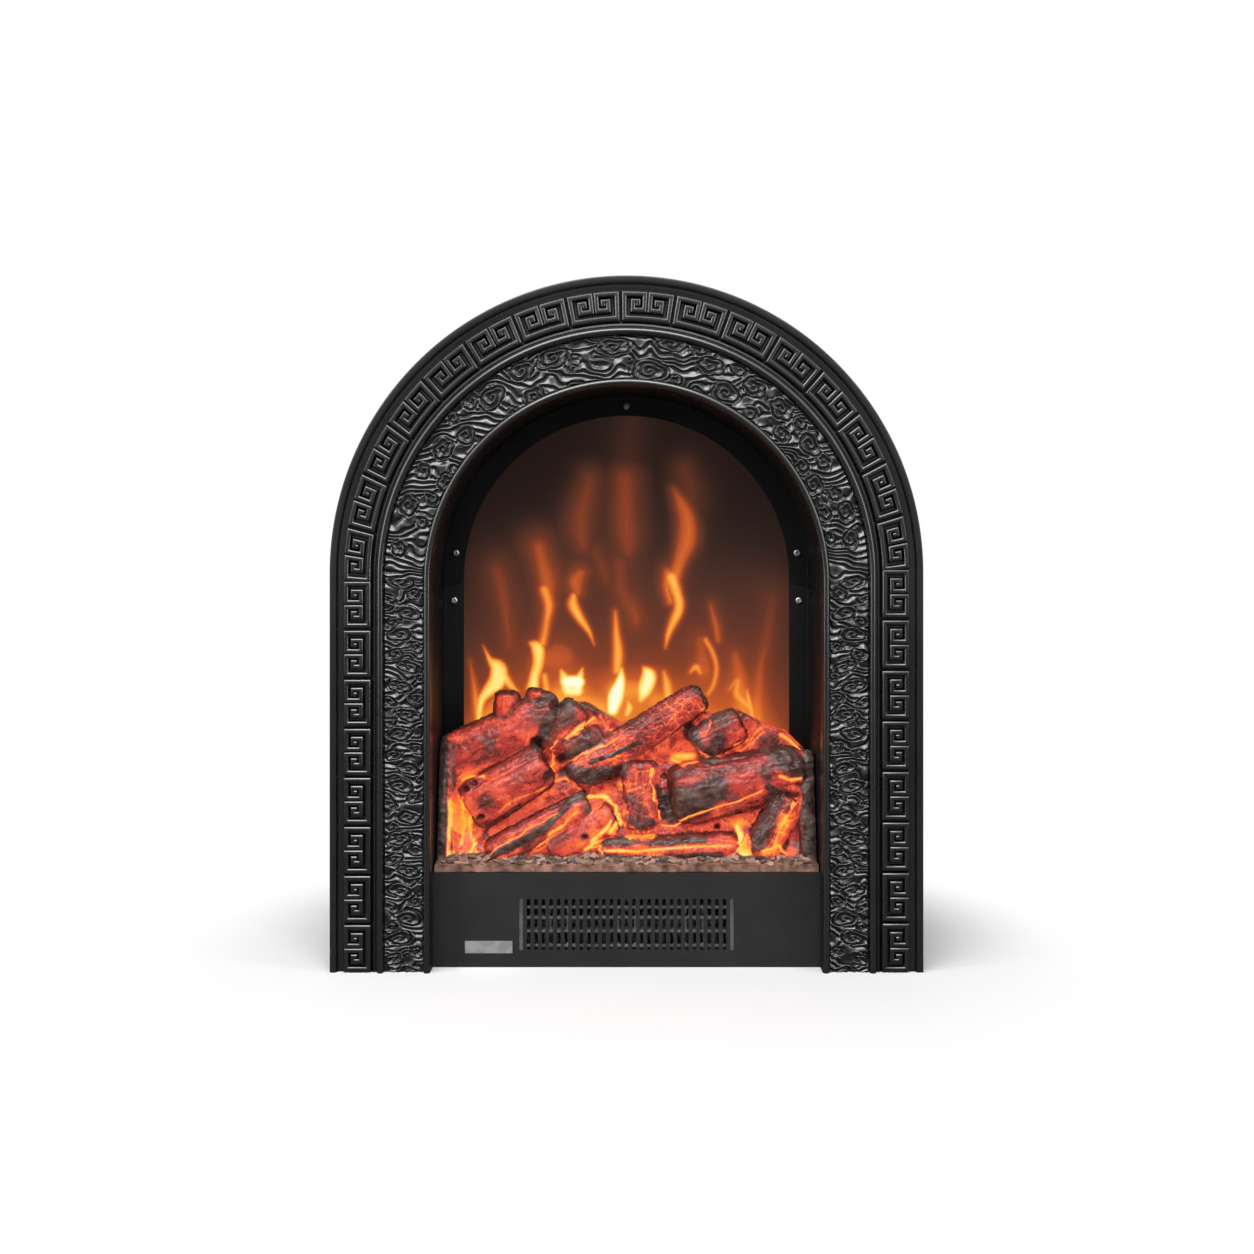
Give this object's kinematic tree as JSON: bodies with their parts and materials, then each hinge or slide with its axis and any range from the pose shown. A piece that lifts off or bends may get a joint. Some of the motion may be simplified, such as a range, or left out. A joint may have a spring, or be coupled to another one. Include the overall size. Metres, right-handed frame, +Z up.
{
  "type": "electric fireplace insert",
  "caption": "Arched electric fireplace insert: moulded surround with key and cloud bands, glowing log set, flame screen and a slotted blower heater below.",
  "frame": {"origin": "middle of the foot of the whole insert, at the height of the floor", "axes": "+Z up, -Y out of the front towards the room, +X to the right as seen from the room"},
  "size_m": [0.6, 0.2, 0.704],
  "materials": {
    "surround": "satin black moulding",
    "panel_coat": "fine textured powder coat",
    "casing_coat": "matt black paint",
    "liner_coat": "semi-gloss black paint",
    "screw_steel": "bright plated",
    "screen": "smoked and diffusing",
    "logs": "painted translucent moulding",
    "circuit_board": "solder mask",
    "bright_sheet": "polished",
    "shaft_steel": "ground",
    "galvanised": "zinc coated",
    "bronze": "sintered",
    "aluminium": "mill finish",
    "laminated_steel": "stacked laminations",
    "winding": "taped copper winding",
    "black_plastic": "moulded"
  },
  "bodies": {
    "casing": {"surround": "surround", "lower_panel": "panel_coat", "casing_wrap": "casing_coat", "base_plate": "casing_coat", "shelf_plate": "casing_coat", "back_cover": "casing_coat", "screen_frame": "casing_coat", "liner_hood": "liner_coat", "liner_left": "liner_coat", "liner_right": "liner_coat", "hood_screw_1": "screw_steel", "hood_screw_2": "screw_steel", "hood_screw_3": "screw_steel", "jamb_screw_left": "screw_steel", "jamb_screw_right": "screw_steel", "flame_screen": "screen", "log_set": "logs", "ember_lamp_board": "circuit_board", "flame_lamp_board": "circuit_board", "control_board": "circuit_board", "flame_template": "bright_sheet", "flame_bracket_left": "galvanised", "flame_bracket_right": "galvanised", "flame_rotor_motor": "galvanised", "blower_housing": "galvanised", "motor_strap": "galvanised", "heater_duct": "galvanised", "flame_rotor_bush": "bronze", "blower_bush": "bronze", "motor_bush": "bronze", "heater_core": "aluminium", "motor_core": "laminated_steel", "motor_coil": "winding", "thermal_cutout": "black_plastic", "board_standoff_1": "black_plastic", "board_standoff_2": "black_plastic", "board_standoff_3": "black_plastic", "board_standoff_4": "black_plastic", "switch_housing": "black_plastic", "cord_gland": "black_plastic"},
    "blower_rotor": {"blower_wheel": "aluminium", "blower_shaft": "shaft_steel", "motor_rotor": "laminated_steel"},
    "flame_rotor": {"flame_rotor_vanes": "bright_sheet", "flame_rotor_shaft": "shaft_steel"},
    "rocker": {"switch_rocker": "black_plastic"}
  },
  "joints": [
    {"name": "blower_spin", "type": "hinge", "parent": "casing", "child": "blower_rotor", "pos_m": [0, -0.005, 0.046], "axis": [1, 0, 0], "continuous": true},
    {"name": "flame_rotor_spin", "type": "hinge", "parent": "casing", "child": "flame_rotor", "pos_m": [0, 0.0654, 0.1343], "axis": [1, 0, 0], "continuous": true},
    {"name": "rocker_tilt", "type": "hinge", "parent": "casing", "child": "rocker", "pos_m": [0.175, 0.0933, 0.045], "axis": [-1, 0, 0], "range_deg": [0, 24]}
  ]
}
